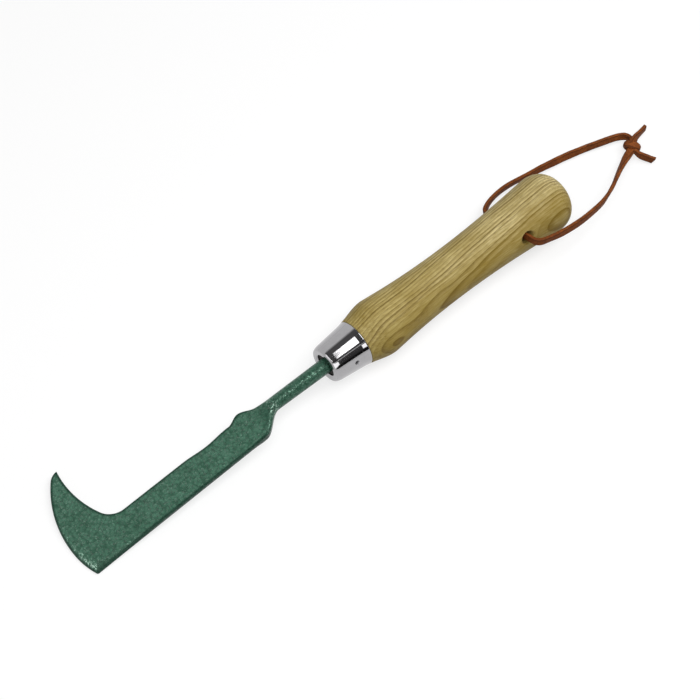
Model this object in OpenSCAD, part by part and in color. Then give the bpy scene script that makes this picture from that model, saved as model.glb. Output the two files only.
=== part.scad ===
// Patio knife: a hooked blade on a round neck, a steel ferrule with its cross pin,
// a turned ash grip and a knotted leather hanging thong.
// Lengths are millimetres. X runs from the blade to the grip's butt, Y to the side the hook
// points to, and Z up from the table the knife lies on.

/* [Blade] */
// Length of the round neck from the ferrule's mouth to the root of the blade
neck_len = 33; // [24:1:45]
// Diameter of the neck at the ferrule
neck_rear_d = 8.2; // [7.5:0.1:9.5]
// Diameter of the neck where the blade begins
neck_front_d = 7.6; // [6.5:0.1:9]
// Length of the blade ahead of the neck
blade_reach = 127; // [115:1:150]
// Thickness of the blade
blade_t = 3; // [2.4:0.1:4]
// Turn of the blade towards the hook's side, at the neck
blade_yaw = 0.7; // [0:0.1:2]
// Width of the blade's bar where it meets the hook
bar_w = 18.2; // [14:0.1:22]
// Narrowing of the bar from the hook back to the shoulder
bar_taper = 0.5; // [0:0.1:2]
// Distance from the neck's axis to the bar's back edge at the hook
back_y = 5.9; // [4:0.1:6.5]
// Length of the forged shoulder where the neck spreads into the bar
shoulder_len = 26; // [20:1:34]
// Swell of the shoulder past the bar's back edge
shoulder_swell = 2.4; // [0:0.1:3]
// Depth of the shallow hollow in the bar's back edge ahead of the shoulder
bar_hollow = 0.9; // [0:0.1:1.5]
// Distance the hook's point stands out past the bar's back edge
hook_depth = 39.7; // [32:0.2:48]
// Radius of the long outer edge
outer_r = 62; // [56:0.5:80]
// Radius of the outer edge next to the heel
heel_r = 43.5; // [32:0.5:52]
// Radius of the heel's corner
corner_r = 1.2; // [0.8:0.1:3]
// Radius of the inside corner of the hook
crook_r = 11; // [7:0.5:14]
// Radius of the hook's inside edge towards its point
inner_r = 54; // [45:1:70]
// Width of the hook's arm beside its inside corner
arm_w = 22.6; // [18:0.2:26]
// Radius of the rounded back of the hook's point
point_r = 7.5; // [4:0.5:9]
// Width of the bevel at the heel
bevel_w = 4.4; // [2:0.2:6]
// Thickness left at the bevelled edge
edge_t = 1.2; // [0.8:0.1:2]
// Length of the bevel along the straight edge
edge_bevel_len = 44; // [30:1:60]
// Length of the bevel along the outer edge, sideways from the heel
outer_bevel_len = 42; // [30:1:50]

/* [Tang] */
// Diameter of the tang inside the grip
tang_d = 7; // [5:0.2:8]
// Length of the tang behind the ferrule's mouth
tang_len = 74; // [50:1:90]
// Length of the tang's tapered end
tang_point_len = 14; // [8:1:20]
// Clearance between the tang and its hole, on the radius
tang_gap = 0.1; // [0.05:0.05:0.3]

/* [Ferrule] */
// Length of the ferrule
ferrule_len = 21.2; // [18:0.1:28]
// Diameter of the ferrule's front
ferrule_front_d = 21.2; // [19:0.2:23]
// Diameter of the ferrule's rear
ferrule_rear_d = 25.9; // [25:0.1:28]
// Length of the flared band at the ferrule's rear
ferrule_band = 3; // [2:0.5:5]
// Widening of the ferrule over its rear band
ferrule_flare = 1.1; // [0.4:0.1:2]
// Wall of the ferrule
ferrule_wall = 1.1; // [0.8:0.1:1.6]
// Radius of the ferrule's rolled front lip
lip_r = 1.6; // [1.1:0.1:2]
// Diameter of the ferrule's mouth
mouth_d = 12.6; // [11:0.2:14]
// Clearance between the ferrule and the wood inside it
ferrule_gap = 0.1; // [0.05:0.05:0.3]

/* [Pin] */
// Diameter of the cross pin through ferrule, grip and tang
pin_d = 2.4; // [1.6:0.1:3]
// Distance of the pin from the ferrule's front
pin_x = 12.4; // [9:0.2:15]
// Angle of the pin's near end above the horizontal
pin_tilt = 17.5; // [0:0.5:45]
// Depth of the pin's ends below the ferrule's surface
pin_recess = 0.3; // [0.1:0.05:0.6]

/* [Grip] */
// Length of the grip behind the ferrule's front
grip_end = 166.3; // [150:0.1:180]
// Diameter of the front bulge
front_bulge_d = 31.8; // [29:0.1:34]
// Distance of the front bulge from the ferrule's front
front_bulge_x = 36; // [32:0.2:40]
// Diameter of the waist
waist_d = 26.8; // [24:0.1:29]
// Distance of the waist from the ferrule's front
waist_x = 85.4; // [75:0.2:95]
// Diameter of the rear bulge
rear_bulge_d = 33.4; // [32:0.1:38]
// Distance of the rear bulge from the butt
rear_bulge_back = 16; // [14:0.2:20]

/* [Hanging hole] */
// Diameter of the hole for the thong
hole_d = 7; // [6:0.2:9]
// Diameter of the hole's countersunk mouths
hole_mouth_d = 9; // [8:0.2:11]
// Distance of the hole from the butt
hole_back = 37; // [32:0.5:45]
// Angle of the hole's near end above the horizontal
hole_tilt = 23; // [0:1:45]

/* [Thong] */
// Width of the leather lace
lace_w = 4.6; // [3.5:0.1:5.5]
// Thickness of the leather lace
lace_t = 2.1; // [1.5:0.1:3]
// Radius of the knot's core
knot_r = 4.3; // [3.5:0.1:5]
// Radius of the lace wrapped round the knot
wrap_r = 1.6; // [1.2:0.1:2]

/* [Hidden] */
$fn = 96;

// Turns a point of the blade's plane about the neck's end
function turned(p, a) = [p[0] * cos(a) - p[1] * sin(a), p[0] * sin(a) + p[1] * cos(a)];

// Blade outline, in its own frame: reach ahead of the neck, then side distance
edge_y = back_y - bar_w;
front_y = 2.4;
outer_c = [blade_reach - outer_r, front_y];
heel_c = [blade_reach - heel_r, front_y];
corner_y = edge_y + corner_r;
corner_x = heel_c[0] + sqrt(pow(heel_r - corner_r, 2) - pow(corner_y - front_y, 2));
corner_a = atan2(corner_y - front_y, corner_x - heel_c[0]);
crook_c = [blade_reach - arm_w - crook_r, back_y + crook_r];
crook_a = -22.3;
inner_c = crook_c - (inner_r - crook_r) * [cos(crook_a), sin(crook_a)];
point_y = back_y + hook_depth;
point_cy = point_y - point_r;
point_a = asin((point_cy - front_y) / (outer_r - point_r));
point_c = outer_c + (outer_r - point_r) * [cos(point_a), sin(point_a)];
outline_step = 3;
hollow_x = 42;
hollow_half = 14;

// Shoulder: where its near flare starts and how long it runs, where its far swell stands and how
// far it reaches back and ahead, all as parts of its length, and how much its section squares up.
// It stands a little proud of the bar where it laps over it, and ends sunk inside it
shoulder_stations = 13;
shoulder_sides = 28;
flare_start = 0.03;
flare_run = 0.58;
swell_at = 0.73;
swell_rear = 0.36;
swell_front = 0.3;
squaring = 0.95;
lap_proud = 0.1;
lap_sunk = 0.3;

// Tang and ferrule
tang_tip_d = tang_d / 3;
band_d = ferrule_rear_d - ferrule_flare;
cone_end_x = ferrule_len - ferrule_band;

// Grip: how far the handles of each bend in its outline reach, and the roundness of its butt
grip_steps = 16;
seat_d = ferrule_rear_d;
seat_reach = 0.4;
front_reach_in = 0.35;
front_run = 3;
waist_front_run = 29;
waist_rear_run = 34;
rear_run = 4;
butt_run = 1;
butt_round = 19.1;
rear_bulge_x = grip_end - rear_bulge_back;
hole_x = grip_end - hole_back;

// The knife lies on its two bulges, and the front of its blade rests on the same table
lay_pitch = asin((rear_bulge_d - front_bulge_d) / 2 / (rear_bulge_x - front_bulge_x));
axis_z = front_bulge_d / 2 - front_bulge_x * sin(lay_pitch);
root_z = axis_z - neck_len * sin(lay_pitch);
blade_far = turned(outer_c, blade_yaw)[0] + outer_r;
blade_slope = asin(root_z / norm([blade_far, blade_t / 2])) - atan(blade_t / 2 / blade_far);

// Shift that puts the middle of the knife's length and width at the origin, without its thong
blade_front_x = -neck_len * cos(lay_pitch) - blade_far * cos(blade_slope) - blade_t / 2 * sin(blade_slope);
centre_x = (blade_front_x + grip_end * cos(lay_pitch)) / 2;
centre_y = (turned(point_c, blade_yaw)[1] + point_r - rear_bulge_d / 2) / 2;

// Thong: ring centres from the middle of the hole, with the lace's twist in degrees
lace_chamfer = 0.5;
lace_pull = 0.5;
hole_dir = [0, -cos(hole_tilt), sin(hole_tilt)];
near_route = [[1, -18.6, 7.2, 8], [3.5, -20.7, 7.2, 20], [8.2, -21.8, 6.7, 30], [14.6, -22.6, 5.8, 35],
              [23, -22.8, 4.5, 35], [31, -22.5, 2.8, 35], [39.5, -21.5, 1, 35], [48, -19.8, -1.1, 35],
              [55, -17.3, -2.9, 34], [61.5, -14.5, -4.4, 36], [67.3, -11.7, -5.8, 45],
              [73.5, -8.3, -7.2, 62], [80.8, -4.6, -8.9, 85], [86.8, -1.7, -10.5, 102],
              [90.8, -0.4, -11.4, 110]];
far_route = [[1, 20, -7.8, 6], [3.5, 22.5, -8.4, 20], [9, 25, -9.8, 36], [16.5, 27, -11.3, 40],
             [23.5, 27.4, -12, 40], [30.5, 26.8, -12.6, 38], [38, 25.4, -12.8, 37], [45.5, 24, -12.8, 37],
             [53, 22.4, -12.9, 37], [61, 21.2, -12.9, 37], [68.5, 19.6, -13, 37], [76, 17.6, -13, 37],
             [83, 15.4, -12.8, 37], [88, 13.6, -12.5, 37], [92.4, 11.8, -12.4, 37],
             [95.8, 8.9, -12.3, 33], [96.8, 5.5, -12.3, 25]];
long_tail = [[96.2, 3.9, -11.6, 33], [98.7, 4.8, -12.2, 33], [104.4, 6.3, -13.4, 33],
             [109, 7.4, -14.5, 33]];
short_tail = [[92.7, -0.4, -12.3, 36], [93.6, -4.9, -13.2, 36], [95.3, -8.8, -14, 36],
              [96.9, -12.4, -14.6, 36]];
knot_at = [93.8, 1.7, -12.5];
knot_tip = 20;
knot_turn = 35;
core_r = knot_r - 0.4;

// Eased step from 0 to 1, flat at both ends
function ease(u) = let (v = min(1, max(0, u))) v * v * (3 - 2 * v);
// Hump of height 1 over -1 to 1, flat outside
function hump(u) = abs(u) >= 1 ? 0 : (1 + cos(180 * u)) / 2;
// Points along an arc
function arc(c, r, a0, a1, step = outline_step) =
    let (n = max(2, ceil(abs(a1 - a0) / step)))
    [for (i = [0:n]) let (a = a0 + (a1 - a0) * i / n) c + r * [cos(a), sin(a)]];
// Upper crossing of two circles
function crossing(c1, r1, c2, r2) =
    let (d = norm(c2 - c1), u = (c2 - c1) / d,
         along = (d * d + r1 * r1 - r2 * r2) / (2 * d),
         across = sqrt(max(0, r1 * r1 - along * along)),
         p = c1 + along * u, q = across * [-u[1], u[0]])
    (p + q)[1] > (p - q)[1] ? p + q : p - q;
function angle_of(p, c) = atan2(p[1] - c[1], p[0] - c[0]);
// Cubic curve from one point to another through its two handles, without its first point
function bend(p0, p1, p2, p3, n = grip_steps) =
    [for (i = [1:n]) let (t = i / n, s = 1 - t)
        s * s * s * p0 + 3 * s * s * t * p1 + 3 * s * t * t * p2 + t * t * t * p3];
function unit(v) = v / norm(v);

// Lays a piece that is drawn about the grip's axis on the table
module laid() {
    translate([-centre_x, -centre_y, axis_z]) rotate([0, -lay_pitch, 0]) children();
}

// Brings a piece that is drawn ahead of the neck to the neck's end, sloping to the table
module at_blade_root() {
    translate([-neck_len, 0, 0]) rotate([0, lay_pitch - blade_slope, 0]) mirror([1, 0, 0])
        rotate([0, 0, blade_yaw]) children();
}
// The same for a point
function root_point(p) =
    let (q = turned(p, blade_yaw), a = lay_pitch - blade_slope)
    [p[2] * sin(a) - q[0] * cos(a) - neck_len, q[1], q[0] * sin(a) + p[2] * cos(a)];

// The bar's back edge, tapered and slightly hollow
function back_edge(a) =
    back_y - bar_taper * (crook_c[0] - a) / (crook_c[0] - shoulder_len)
    - bar_hollow * hump((a - hollow_x) / hollow_half);

// Hook and bar seen from above: back edge, crook, point, outer edge, heel, straight edge
module blade_outline() {
    tip = crossing(point_c, point_r, inner_c, inner_r);
    bar_start = shoulder_len - 2;
    polygon(concat(
        [[bar_start, edge_y]],
        [for (a = [bar_start : outline_step : hollow_x + hollow_half + 1]) [a, back_edge(a)]],
        arc(crook_c, crook_r, -90, crook_a, 6),
        arc(inner_c, inner_r, crook_a, angle_of(tip, inner_c)),
        arc(point_c, point_r, angle_of(tip, point_c), point_a, 12),
        arc(outer_c, outer_r, point_a, 0),
        arc(heel_c, heel_r, 0, corner_a),
        arc([corner_x, corner_y], corner_r, corner_a, -90, 15)));
}

// Wedge that takes the bevel off the straight edge, deepest at the heel
module edge_bevel_cut() {
    drop = blade_t - edge_t;
    a = [corner_x, edge_y, blade_t / 2 - drop];
    b = [corner_x, edge_y + bevel_w, blade_t / 2];
    c = [corner_x - edge_bevel_len, edge_y, blade_t / 2];
    slope_x = drop / edge_bevel_len;
    slope_y = drop / bevel_w;
    over = 12;
    // The cutting plane through a, b and c, drawn as one slanted block past the heel
    multmatrix([[1, 0, 0, 0], [0, 1, 0, 0], [-slope_x, slope_y, 1, 0], [0, 0, 0, 1]])
        translate([c[0], edge_y - over, a[2] + slope_x * corner_x - slope_y * edge_y])
            cube([edge_bevel_len + over, over + bevel_w, over]);
}

// Cone that takes the bevel off the outer edge, deepest at the heel and gone towards the point
module outer_bevel_cut() {
    drop = blade_t - edge_t;
    shift = bevel_w * outer_r / outer_bevel_len;
    start_r = outer_r - bevel_w - shift * (edge_y - front_y) / outer_r;
    run = 14;
    translate([outer_c[0], front_y + shift, 0]) rotate([0, 0, -40]) rotate_extrude(angle = 80)
        polygon([[start_r, blade_t / 2], [start_r + run, blade_t / 2 - run * drop / bevel_w],
                 [start_r + run, blade_t / 2 + run], [start_r, blade_t / 2 + run]]);
}

// Neck: round sections about the grip's axis
function neck_ring(x, r) =
    [for (i = [0:shoulder_sides - 1]) let (a = 360 * i / shoulder_sides) [x, r * cos(a), r * sin(a)]];

// Shoulder: sections that spread from the round neck into the flat bar
function shoulder_ring(u) =
    let (x = u * shoulder_len,
         neck_r = neck_front_d / 2,
         lap = u == 1 ? -lap_sunk : lap_proud * ease(u),
         near = neck_r + (-edge_y - neck_r) * ease((u - flare_start) / flare_run) + lap,
         far = neck_r + (back_edge(shoulder_len) - neck_r) * ease(u) + lap
             + shoulder_swell * hump((u - swell_at) / (u < swell_at ? swell_rear : swell_front)),
         thick = neck_r + (blade_t / 2 - neck_r) * ease(u) + lap,
         power = 1 - squaring * ease(u / 0.8),
         mid = (far - near) / 2, half = (far + near) / 2)
    [for (i = [0:shoulder_sides - 1])
        let (a = 360 * i / shoulder_sides, c = cos(a), s = sin(a))
        root_point([x, mid + half * sign(c) * pow(abs(c), power),
                    thick * sign(s) * pow(abs(s), power)])];

// A solid through a row of rings
module tube_of(rings) {
    n = len(rings);
    m = len(rings[0]);
    polyhedron(
        points = [for (ring = rings) each ring],
        faces = concat(
            [[for (i = [0:m - 1]) i]],
            [for (j = [0:n - 2], i = [0:m - 1], half = [0, 1])
                let (p = j * m + i, q = j * m + (i + 1) % m)
                half == 0 ? [p, p + m, q] : [q, p + m, q + m]],
            [[for (i = [m - 1:-1:0]) (n - 1) * m + i]]));
}

module blade() {
    color([0.25, 0.48, 0.38]) laid() difference() {
        union() {
            at_blade_root() difference() {
                translate([0, 0, -blade_t / 2]) linear_extrude(blade_t) blade_outline();
                edge_bevel_cut();
                outer_bevel_cut();
            }
            tube_of(concat(
                [for (j = [shoulder_stations:-1:1]) shoulder_ring(j / shoulder_stations)],
                [neck_ring(-neck_len, neck_front_d / 2), neck_ring(ferrule_wall, neck_rear_d / 2)]));
            rotate([0, 90, 0]) cylinder(d = tang_d, h = tang_len - tang_point_len);
            rotate([0, 90, 0]) translate([0, 0, tang_len - tang_point_len])
                cylinder(d1 = tang_d, d2 = tang_tip_d, h = tang_point_len);
        }
        cross_pin(pin_d / 2 + tang_gap, seat_d);
    }
}

// A rod through the ferrule along the pin's line
module cross_pin(r, length) {
    translate([pin_x, 0, 0]) rotate([90 - pin_tilt, 0, 0]) cylinder(r = r, h = length, center = true);
}

// The ferrule's outside from its front to its rear, or a line that deep below it
function ferrule_outline(inset) =
    let (front_r = ferrule_front_d / 2 - inset, lip = lip_r - inset)
    concat(arc([inset + lip, front_r - lip], lip, 180, 96, 14),
           [[cone_end_x, band_d / 2 - inset], [ferrule_len, ferrule_rear_d / 2 - inset]]);

module ferrule() {
    color([0.78, 0.78, 0.8]) laid() difference() {
        rotate([0, 90, 0]) rotate_extrude()
            polygon([for (p = concat([[0, mouth_d / 2]], ferrule_outline(0),
                [[ferrule_len, ferrule_rear_d / 2 - ferrule_wall],
                 [cone_end_x, band_d / 2 - ferrule_wall],
                 [ferrule_wall + lip_r, ferrule_front_d / 2 - ferrule_wall],
                 [ferrule_wall, ferrule_front_d / 2 - ferrule_wall - lip_r],
                 [ferrule_wall, mouth_d / 2]])) [p[1], p[0]]]);
        cross_pin(pin_d / 2 + tang_gap, 2 * seat_d);
    }
}

module ferrule_pin() {
    color([0.6, 0.6, 0.62]) laid() intersection() {
        cross_pin(pin_d / 2, 2 * seat_d);
        rotate([0, 90, 0]) rotate_extrude()
            polygon([for (p = concat([[0, 0]], ferrule_outline(pin_recess),
                [[ferrule_len, 0]])) [p[1], p[0]]]);
    }
}

// Half outline of the grip from its nose to its butt
function grip_outline() =
    let (nose_x = ferrule_wall + ferrule_gap,
         inside = ferrule_wall + ferrule_gap,
         seat = [ferrule_len + ferrule_gap, seat_d / 2],
         front = [front_bulge_x, front_bulge_d / 2],
         waist = [waist_x, waist_d / 2],
         rear = [rear_bulge_x, rear_bulge_d / 2],
         butt = [grip_end, 0],
         rise = front - seat)
    concat([[nose_x, 0], [nose_x, ferrule_front_d / 2 - inside - lip_r],
            [nose_x + lip_r, ferrule_front_d / 2 - inside],
            [cone_end_x, band_d / 2 - inside], [ferrule_len, seat_d / 2 - inside],
            [seat[0], seat_d / 2 - inside], seat],
           bend(seat, seat + seat_reach * rise, front - [front_reach_in * rise[0], 0], front),
           bend(front, front + [front_run, 0], waist - [waist_front_run, 0], waist),
           bend(waist, waist + [waist_rear_run, 0], rear - [rear_run, 0], rear),
           bend(rear, rear + [butt_run, 0], butt + [0, butt_round], butt));

// Radius of the grip at the hanging hole, where its mouths are countersunk
function radius_at(x, line, i = 1) =
    i >= len(line) - 1 || line[i][0] >= x
        ? line[i - 1][1] + (line[i][1] - line[i - 1][1]) * (x - line[i - 1][0])
            / max(0.001, line[i][0] - line[i - 1][0])
        : radius_at(x, line, i + 1);
hole_r_out = radius_at(hole_x, [for (p = grip_outline()) if (p[0] > ferrule_len + 1) p]);

module hanging_hole() {
    sink = (hole_mouth_d - hole_d) / 2;
    translate([hole_x, 0, 0]) rotate([90 - hole_tilt, 0, 0]) {
        cylinder(d = hole_d, h = 2 * rear_bulge_d, center = true);
        for (end = [0, 1]) mirror([0, 0, end])
            translate([0, 0, hole_r_out - sink])
                cylinder(d1 = hole_d, d2 = hole_d + 6 * sink, h = 3 * sink);
    }
}

module handle() {
    color([0.72, 0.64, 0.44]) laid() difference() {
        rotate([0, 90, 0]) rotate_extrude() polygon([for (p = grip_outline()) [p[1], p[0]]]);
        rotate([0, 90, 0]) {
            cylinder(r = tang_d / 2 + tang_gap, h = tang_len - tang_point_len);
            translate([0, 0, tang_len - tang_point_len])
                cylinder(r1 = tang_d / 2 + tang_gap, r2 = tang_tip_d / 2 + tang_gap,
                    h = tang_point_len + tang_gap);
        }
        cross_pin(pin_d / 2 + tang_gap, 2 * seat_d);
        hanging_hole();
    }
}

// One ring of the lace: a chamfered rectangle, square to the route and turned by its twist
function lace_ring(p, along, twist) =
    let (t = unit(along),
         stand = [0, sin(hole_tilt), cos(hole_tilt)],
         w0 = unit(stand - (stand * t) * t), s0 = cross(t, w0),
         w = cos(twist) * w0 + sin(twist) * s0, v = cross(t, w),
         a = lace_w / 2, b = lace_t / 2, c = lace_chamfer)
    [for (k = [[a, b - c], [a - c, b], [c - a, b], [-a, b - c],
               [-a, c - b], [c - a, -b], [a - c, -b], [a, c - b]])
        p + k[0] * w + k[1] * v];

// A lace along a route of points and twists
module lace(route) {
    n = len(route);
    p = [for (r = route) [r[0], r[1], r[2]]];
    tube_of([for (i = [0:n - 1])
        lace_ring(p[i], i == 0 ? p[1] - p[0] : i == n - 1 ? p[i] - p[i - 1]
            : unit(p[i + 1] - p[i]) + unit(p[i] - p[i - 1]), route[i][3])]);
}

// The first stretch runs straight along the hole, from its middle past its mouth
function through_hole(side) =
    [for (s = [0, hole_r_out / 2, hole_r_out, hole_r_out + 1.5])
        concat([lace_pull, 0, 0] + side * s * hole_dir, [0])];

module at_hole() {
    laid() translate([hole_x, 0, 0]) children();
}

module thong_near_leg() {
    color([0.55, 0.31, 0.16]) at_hole() lace(concat(through_hole(1), near_route));
}

module thong_far_leg() {
    color([0.55, 0.31, 0.16]) at_hole() lace(concat(through_hole(-1), far_route));
}

module thong_knot() {
    color([0.5, 0.28, 0.14]) at_hole() translate(knot_at) {
        sphere(r = core_r, $fn = 48);
        rotate([knot_tip, 0, knot_turn]) rotate([0, 90, 0]) rotate_extrude($fn = 48)
            translate([knot_r - wrap_r, 0]) circle(r = wrap_r, $fn = 24);
    }
}

module thong_tail_long() {
    color([0.58, 0.34, 0.18]) at_hole() lace(long_tail);
}

module thong_tail_short() {
    color([0.58, 0.34, 0.18]) at_hole() lace(short_tail);
}

blade();
ferrule();
ferrule_pin();
handle();
thong_near_leg();
thong_far_leg();
thong_knot();
thong_tail_long();
thong_tail_short();
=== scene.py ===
"""Patio knife: a hooked painted blade, a chromed ferrule, an ash grip and a knotted leather thong.

The shapes are worked out in millimetres in the tool's own frame: X runs along the grip's axis from
the ferrule's front, Y to the side the hook points to, Z up. laid() pitches that frame onto the
table and brings it to the row frame in metres.
"""
import math

import bmesh
import bpy
import numpy as np
from mathutils import Matrix


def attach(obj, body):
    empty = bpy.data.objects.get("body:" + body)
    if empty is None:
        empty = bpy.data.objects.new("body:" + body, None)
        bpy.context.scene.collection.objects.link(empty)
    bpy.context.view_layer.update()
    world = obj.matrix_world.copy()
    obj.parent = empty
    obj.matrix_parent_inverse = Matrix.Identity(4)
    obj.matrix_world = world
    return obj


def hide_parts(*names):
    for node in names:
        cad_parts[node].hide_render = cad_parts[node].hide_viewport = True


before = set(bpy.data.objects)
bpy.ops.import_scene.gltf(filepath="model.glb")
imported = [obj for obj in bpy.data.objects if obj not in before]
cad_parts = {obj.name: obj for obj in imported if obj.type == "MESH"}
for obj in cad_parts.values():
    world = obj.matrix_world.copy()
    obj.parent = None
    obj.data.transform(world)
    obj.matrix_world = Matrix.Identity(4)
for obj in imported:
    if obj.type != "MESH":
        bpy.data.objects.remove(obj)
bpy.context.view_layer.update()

# The photograph: its size, its lens in pixels and the pixel that the lens points at
PHOTO_PX = 700
LENS_PX = 2422.085
LENS_AXIS_PX = (369.02, 333.17)
SENSOR_MM = 36
CAMERA_AZIMUTH = -41.212
CAMERA_ELEVATION = 57.5
CAMERA_DISTANCE = 1.25
CAMERA_TARGET = (0.026534, -0.015097, 0.01587)
CAMERA_REACH = 20

# Blade, as the part's source names its values
NECK_LEN = 33
NECK_REAR_R = 4.1
NECK_FRONT_R = 3.8
BLADE_T = 3
BLADE_YAW = math.radians(0.7)
BACK_Y = 5.9
EDGE_Y = -12.3
BAR_TAPER = 0.5
BAR_HOLLOW = 0.9
HOLLOW_X = 42
HOLLOW_HALF = 14
SHOULDER_LEN = 26
SHOULDER_SWELL = 2.4
FLARE_START = 0.03
FLARE_RUN = 0.58
SWELL_AT = 0.73
SWELL_REAR = 0.36
SWELL_FRONT = 0.3
SQUARING = 0.95
FRONT_Y = 2.4
OUTER_R = 62
HEEL_R = 43.5
CORNER_R = 1.2
CROOK_R = 11
INNER_R = 54
POINT_R = 7.5
OUTER_C = np.array([65, FRONT_Y])
HEEL_C = np.array([83.5, FRONT_Y])
CROOK_C = np.array([93.4, 16.9])
CROOK_A = -22.3
INNER_C = np.array([53.616, 33.2166])
POINT_C = np.array([106.18, 38.1])
POINT_A = 40.9
TIP = np.array([106.177, 45.6])
CORNER_X = 123.588
BEVEL_W = 4.4
EDGE_T = 1.2
EDGE_BEVEL_LEN = 44
OUTER_BEVEL_LEN = 42
PAINT_ROUND = 0.75

# Tang, ferrule and pin
TANG_R = 3.5
TANG_TIP_R = TANG_R / 3
TANG_LEN = 74
TANG_POINT_LEN = 14
GAP = 0.1
FERRULE_LEN = 21.2
FERRULE_FRONT_R = 10.6
FERRULE_REAR_R = 12.95
BAND_R = 12.4
BAND_X = 18.2
FERRULE_WALL = 1.1
LIP_R = 1.6
MOUTH_R = 6.3
PIN_R = 1.2
PIN_X = 12.4
PIN_TILT = math.radians(17.5)

# Grip
GRIP_END = 166.3
FRONT_BULGE = (36, 15.9)
WAIST = (85.4, 13.4)
REAR_BULGE = (150.3, 16.7)
HOLE_X = 129.3
HOLE_R = 3.5
HOLE_TILT = math.radians(23)
HOLE_R_OUT = 15.065

# Thong: its routes from the middle of the hole, as x, y, z in millimetres and twist in degrees
LACE_W = 4.6
LACE_T = 2.1
NEAR_ROUTE = [[1, -18.6, 7.2, 8], [3.5, -20.7, 7.2, 20], [8.2, -21.8, 6.7, 26], [14.6, -22.8, 5.8, 20],
              [23, -23.2, 4.5, 17], [31, -22.8, 2.8, 20], [39.5, -21.7, 1, 22], [48, -20, -1.1, 25],
              [55, -17.6, -2.9, 33], [61.5, -14.8, -4.4, 36], [67.3, -11.8, -5.8, 36],
              [73.5, -8.4, -7.2, 46], [80.8, -4.8, -8.9, 64], [86.8, -2, -10.5, 95],
              [90.8, -0.4, -11.4, 110], [93.4, 1.2, -12.2, 112]]
FAR_ROUTE = [[1, 20, -7.8, 6], [3.6, 22.2, -8.4, 9], [9, 24.9, -9.8, 24], [16.5, 26.8, -11.3, 30],
             [23.5, 27.2, -12, 30], [30.5, 26.7, -12.6, 34], [38, 25.4, -12.8, 27], [45.5, 24.2, -12.8, 18],
             [53, 22.8, -12.9, 12], [61, 21.2, -12.9, 9], [68.5, 19.4, -13, 12], [76, 17.3, -13, 15],
             [83, 15, -12.8, 15], [88, 13.2, -12.5, 15], [92.4, 11.4, -12.4, 14],
             [95.8, 8.8, -12.3, 10], [96.8, 5.5, -12.3, 6], [95.6, 3.2, -12.4, 20]]
LONG_TAIL = [[93.6, 1.9, -10.6, -20], [95.6, 2.6, -9.8, -12], [97.8, 3.5, -10.3, 2],
             [100.6, 4.6, -11.6, 18], [104.6, 5.9, -13.2, 25], [109.1, 7.1, -14.4, 25]]
SHORT_TAIL = [[93.2, 1.4, -12, 20], [92.9, -1.2, -12.3, 12], [93.4, -5, -13.2, 8],
              [95.4, -8.7, -14, 10], [97.3, -11.9, -14.6, 10]]
KNOT_AT = np.array([93.8, 1.7, -12.5])

# How the knife lies on its two bulges and the front of its blade, and its middle
LAY_PITCH = math.asin((REAR_BULGE[1] - FRONT_BULGE[1]) / (REAR_BULGE[0] - FRONT_BULGE[0]))
AXIS_Z = FRONT_BULGE[1] - FRONT_BULGE[0] * math.sin(LAY_PITCH)
BLADE_SLOPE = math.radians(6.2971)
CENTRE_X = 3.46621
CENTRE_Y = 15.0972


def laid(p):
    """Row frame in metres: the tool frame is pitched about Y by the lay, lifted and centred."""
    p = np.asarray(p, float)
    c, s = math.cos(LAY_PITCH), math.sin(LAY_PITCH)
    return np.stack([p[..., 0] * c - p[..., 2] * s - CENTRE_X, p[..., 1] - CENTRE_Y,
                     p[..., 0] * s + p[..., 2] * c + AXIS_Z], -1) / 1000


def at_root(p):
    """Tool frame from the blade's: turned by the yaw, mirrored, sloped, and put at the neck's end."""
    c, s = math.cos(BLADE_YAW), math.sin(BLADE_YAW)
    ahead, side = p[..., 0] * c - p[..., 1] * s, p[..., 0] * s + p[..., 1] * c
    a = LAY_PITCH - BLADE_SLOPE
    return np.stack([p[..., 2] * math.sin(a) - ahead * math.cos(a) - NECK_LEN, side,
                     ahead * math.sin(a) + p[..., 2] * math.cos(a)], -1)


def ease(u):
    """Smooth step from 0 to 1, flat at both ends: 3 u squared less 2 u cubed."""
    v = np.clip(u, 0, 1)
    return v * v * (3 - 2 * v)


def hump(u):
    """Raised cosine of height 1 over -1 to 1, and 0 outside."""
    return np.where(np.abs(u) >= 1, 0, (1 + np.cos(math.pi * np.clip(u, -1, 1))) / 2)


def arc(c, r, a0, a1, n):
    """n points along a circle's arc between two angles in degrees."""
    a = np.radians(np.linspace(a0, a1, n))
    return np.asarray(c) + r * np.stack([np.cos(a), np.sin(a)], -1)


def bend(p0, p1, p2, p3, n):
    """Cubic curve between two points through two handles, without its first point."""
    p0, p1, p2, p3 = (np.asarray(p) for p in (p0, p1, p2, p3))
    t = np.linspace(0, 1, n + 1)[1:, None]
    s = 1 - t
    return s**3 * p0 + 3 * s * s * t * p1 + 3 * s * t * t * p2 + t**3 * p3


def full_turn(n):
    """n angles evenly round a circle."""
    return np.linspace(0, 2 * math.pi, n + 1)[:-1]


def tilted(tilt):
    """The direction across the grip that an angle tilts up from -Y."""
    return np.array([0, -math.cos(tilt), math.sin(tilt)])


def angle_of(p, c):
    """Direction from a centre to a point, in degrees."""
    return math.degrees(math.atan2(p[1] - c[1], p[0] - c[0]))


def length_along(line):
    """Length of a polyline from its start to each of its points."""
    return np.concatenate([[0], np.cumsum(np.linalg.norm(np.diff(line, axis=0), axis=1))])


def at_lengths(line, run, at):
    """Points of a polyline where the length along it has the given values."""
    return np.stack([np.interp(at, run, column) for column in line.T], -1)


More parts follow.
